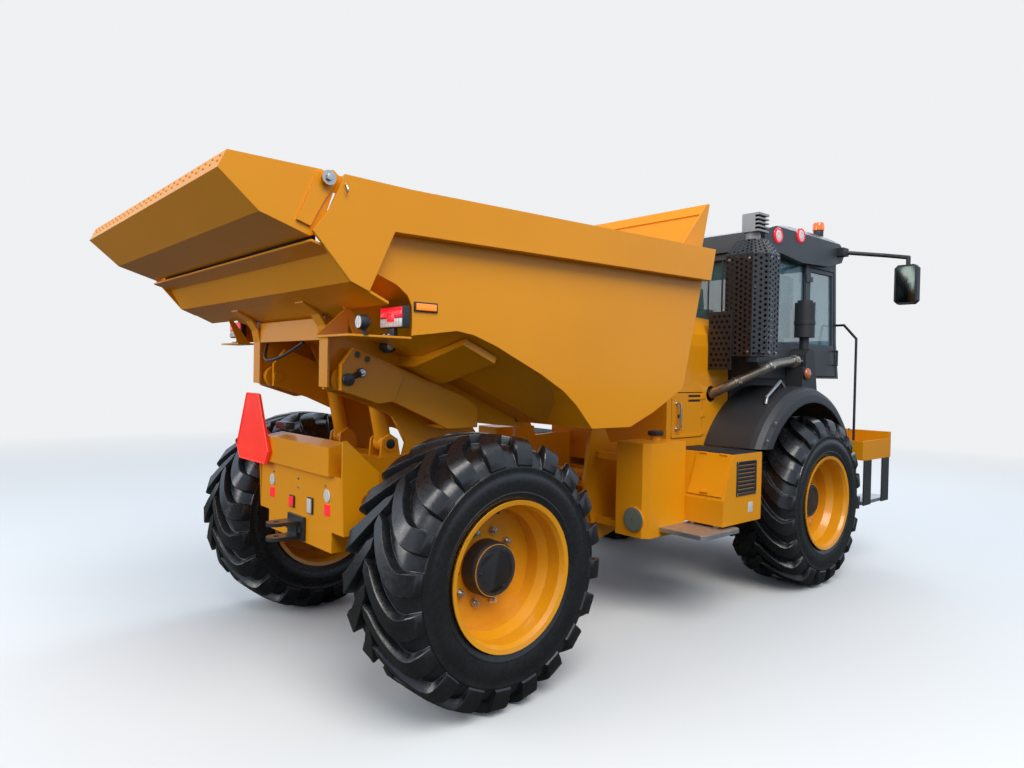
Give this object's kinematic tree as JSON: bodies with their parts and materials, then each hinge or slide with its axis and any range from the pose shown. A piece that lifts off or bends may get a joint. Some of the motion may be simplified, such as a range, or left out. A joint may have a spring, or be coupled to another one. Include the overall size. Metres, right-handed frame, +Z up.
{
  "type": "articulated dump truck",
  "caption": "Compact articulated dump truck with yellow tipping body and tail flap, black cab and fenders, chunky tyres, pivot steering and swivelling rear frame.",
  "frame": {"origin": "centre of the footprint on the ground: the middle of the bounding box at its lowest level", "axes": "+X forward toward the front platform, +Y to the operator's left, +Z up"},
  "size_m": [6.014, 2.974, 3.0258],
  "materials": {
    "paint": "gloss yellow-orange machine paint",
    "dark_plastic": "satin moulded",
    "dark_metal": "satin black paint",
    "bare_steel": "galvanised and ground steel",
    "pale_metal": "pale grey paint",
    "clear": "lightly tinted",
    "lamp": "ribbed lamp lens",
    "cone": "red-orange moulded",
    "tread": "black tyre rubber"
  },
  "bodies": {
    "front_unit": {"front_frame": "paint", "front_axle": "paint", "engine_block": "dark_metal", "engine_panels": "paint", "hood_cover": "paint", "cab_frame": "dark_metal", "cab_posts": "dark_metal", "cab_tub": "dark_metal", "cab_screen": "dark_metal", "cab_roof": "dark_plastic", "cab_glass": "clear", "operator_chair": "dark_plastic", "control_column": "dark_plastic", "fenders": "dark_plastic", "side_filter": "dark_plastic", "step_straps": "dark_plastic", "exhaust_pipe": "bare_steel", "exhaust_guard": "dark_metal", "air_intake": "pale_metal", "side_tanks": "paint", "tool_boxes": "paint", "access_steps": "bare_steel", "front_platform": "paint", "handrails": "dark_metal", "mirrors": "dark_plastic", "front_lamps": "lamp"},
    "swivel": {"centre_joint": "paint"},
    "rear_unit": {"rear_frame": "paint", "rear_axle": "paint", "rear_box": "paint", "tow_hitch": "dark_metal", "marker_triangle": "cone", "bumper_lamps": "lamp"},
    "dump_unit": {"dump_body": "paint", "body_carrier": "paint", "tail_lamps": "lamp"},
    "flap_unit": {"tail_flap": "paint"},
    "ram_barrels": {"tip_barrels": "paint"},
    "ram_rods": {"tip_rods": "bare_steel"},
    "barrel_left": {"steer_barrel_left": "dark_metal"},
    "rod_left": {"steer_rod_left": "bare_steel"},
    "barrel_right": {"steer_barrel_right": "dark_metal"},
    "rod_right": {"steer_rod_right": "bare_steel"},
    "cab_door_left": {"door_left": "dark_metal", "door_glass_left": "clear"},
    "cab_door_right": {"door_right": "dark_metal", "door_glass_right": "clear"},
    "side_door_left": {"service_door_left": "paint"},
    "side_door_right": {"service_door_right": "paint"},
    "lid_left": {"tool_lid_left": "paint"},
    "lid_right": {"tool_lid_right": "paint"},
    "wheel_front_left": {"rim_front_left": "paint", "tyre_front_left": "tread"},
    "wheel_front_right": {"rim_front_right": "paint", "tyre_front_right": "tread"},
    "wheel_rear_left": {"rim_rear_left": "paint", "tyre_rear_left": "tread"},
    "wheel_rear_right": {"rim_rear_right": "paint", "tyre_rear_right": "tread"}
  },
  "joints": [
    {"name": "steer", "type": "hinge", "parent": "front_unit", "child": "swivel", "pos_m": [-0.293, 0, 0.75], "axis": [0, 0, 1], "range_deg": [-35, 35]},
    {"name": "oscillation", "type": "hinge", "parent": "swivel", "child": "rear_unit", "pos_m": [-0.523, 0, 0.75], "axis": [1, 0, 0], "range_deg": [-5, 5]},
    {"name": "wheel_front_left_spin", "type": "hinge", "parent": "front_unit", "child": "wheel_front_left", "pos_m": [1.657, 0.975, 0.67], "axis": [0, 1, 0], "continuous": true},
    {"name": "wheel_front_right_spin", "type": "hinge", "parent": "front_unit", "child": "wheel_front_right", "pos_m": [1.657, -0.975, 0.67], "axis": [0, 1, 0], "continuous": true},
    {"name": "wheel_rear_left_spin", "type": "hinge", "parent": "rear_unit", "child": "wheel_rear_left", "pos_m": [-1.643, 0.975, 0.67], "axis": [0, 1, 0], "continuous": true},
    {"name": "wheel_rear_right_spin", "type": "hinge", "parent": "rear_unit", "child": "wheel_rear_right", "pos_m": [-1.643, -0.975, 0.67], "axis": [0, 1, 0], "continuous": true},
    {"name": "dump_tip", "type": "hinge", "parent": "rear_unit", "child": "dump_unit", "pos_m": [-2.163, 0, 1.6], "axis": [0, -1, 0], "range_deg": [0, 70]},
    {"name": "tail_flap_swing", "type": "hinge", "parent": "dump_unit", "child": "flap_unit", "pos_m": [-2.578, 0, 2.425], "axis": [0, 1, 0], "range_deg": [0, 80]},
    {"name": "ram_swing", "type": "hinge", "parent": "rear_unit", "child": "ram_barrels", "pos_m": [-1.773, 0, 1.235], "axis": [0, -1, 0], "range_deg": [0, 17.5]},
    {"name": "ram_stroke", "type": "slide", "parent": "ram_barrels", "child": "ram_rods", "axis": [-0.2147, 0, 0.9767], "range_m": [0, 0.307]},
    {"name": "steer_swing_left", "type": "hinge", "parent": "front_unit", "child": "barrel_left", "pos_m": [0.207, 0.3, 0.75], "axis": [0, 0, 1], "range_deg": [-9.5, 9.5]},
    {"name": "steer_stroke_left", "type": "slide", "parent": "barrel_left", "child": "rod_left", "axis": [-0.9984, -0.0571, 0], "range_m": [-0.17, 0.17]},
    {"name": "steer_swing_right", "type": "hinge", "parent": "front_unit", "child": "barrel_right", "pos_m": [0.207, -0.3, 0.75], "axis": [0, 0, 1], "range_deg": [-9.5, 9.5]},
    {"name": "steer_stroke_right", "type": "slide", "parent": "barrel_right", "child": "rod_right", "axis": [-0.9984, 0.0571, 0], "range_m": [-0.17, 0.17]},
    {"name": "cab_door_left_swing", "type": "hinge", "parent": "front_unit", "child": "cab_door_left", "pos_m": [2.045, 0.854, 2.15], "axis": [0, 0, 1], "range_deg": [0, 80]},
    {"name": "cab_door_right_swing", "type": "hinge", "parent": "front_unit", "child": "cab_door_right", "pos_m": [2.045, -0.854, 2.15], "axis": [0, 0, -1], "range_deg": [0, 80]},
    {"name": "side_door_left_swing", "type": "hinge", "parent": "front_unit", "child": "side_door_left", "pos_m": [0.849, 0.6, 1.35], "axis": [0, 0, -1], "range_deg": [0, 80]},
    {"name": "side_door_right_swing", "type": "hinge", "parent": "front_unit", "child": "side_door_right", "pos_m": [0.849, -0.6, 1.35], "axis": [0, 0, 1], "range_deg": [0, 80]},
    {"name": "lid_left_swing", "type": "hinge", "parent": "front_unit", "child": "lid_left", "pos_m": [0.3363, 1.05, 1.1207], "axis": [0, 1, 0], "range_deg": [0, 75]},
    {"name": "lid_right_swing", "type": "hinge", "parent": "front_unit", "child": "lid_right", "pos_m": [0.3363, -1.05, 1.1207], "axis": [0, 1, 0], "range_deg": [0, 75]}
  ],
  "couplings": [
    {"joint": "ram_swing", "follows": "dump_tip", "ratio": 0.2418},
    {"joint": "ram_stroke", "follows": "dump_tip", "m_per_rad": 0.2461},
    {"joint": "steer_swing_left", "follows": "steer", "ratio": 0.2431},
    {"joint": "steer_stroke_left", "follows": "steer", "m_per_rad": 0.2637},
    {"joint": "steer_swing_right", "follows": "steer", "ratio": 0.2431},
    {"joint": "steer_stroke_right", "follows": "steer", "m_per_rad": -0.2637}
  ]
}
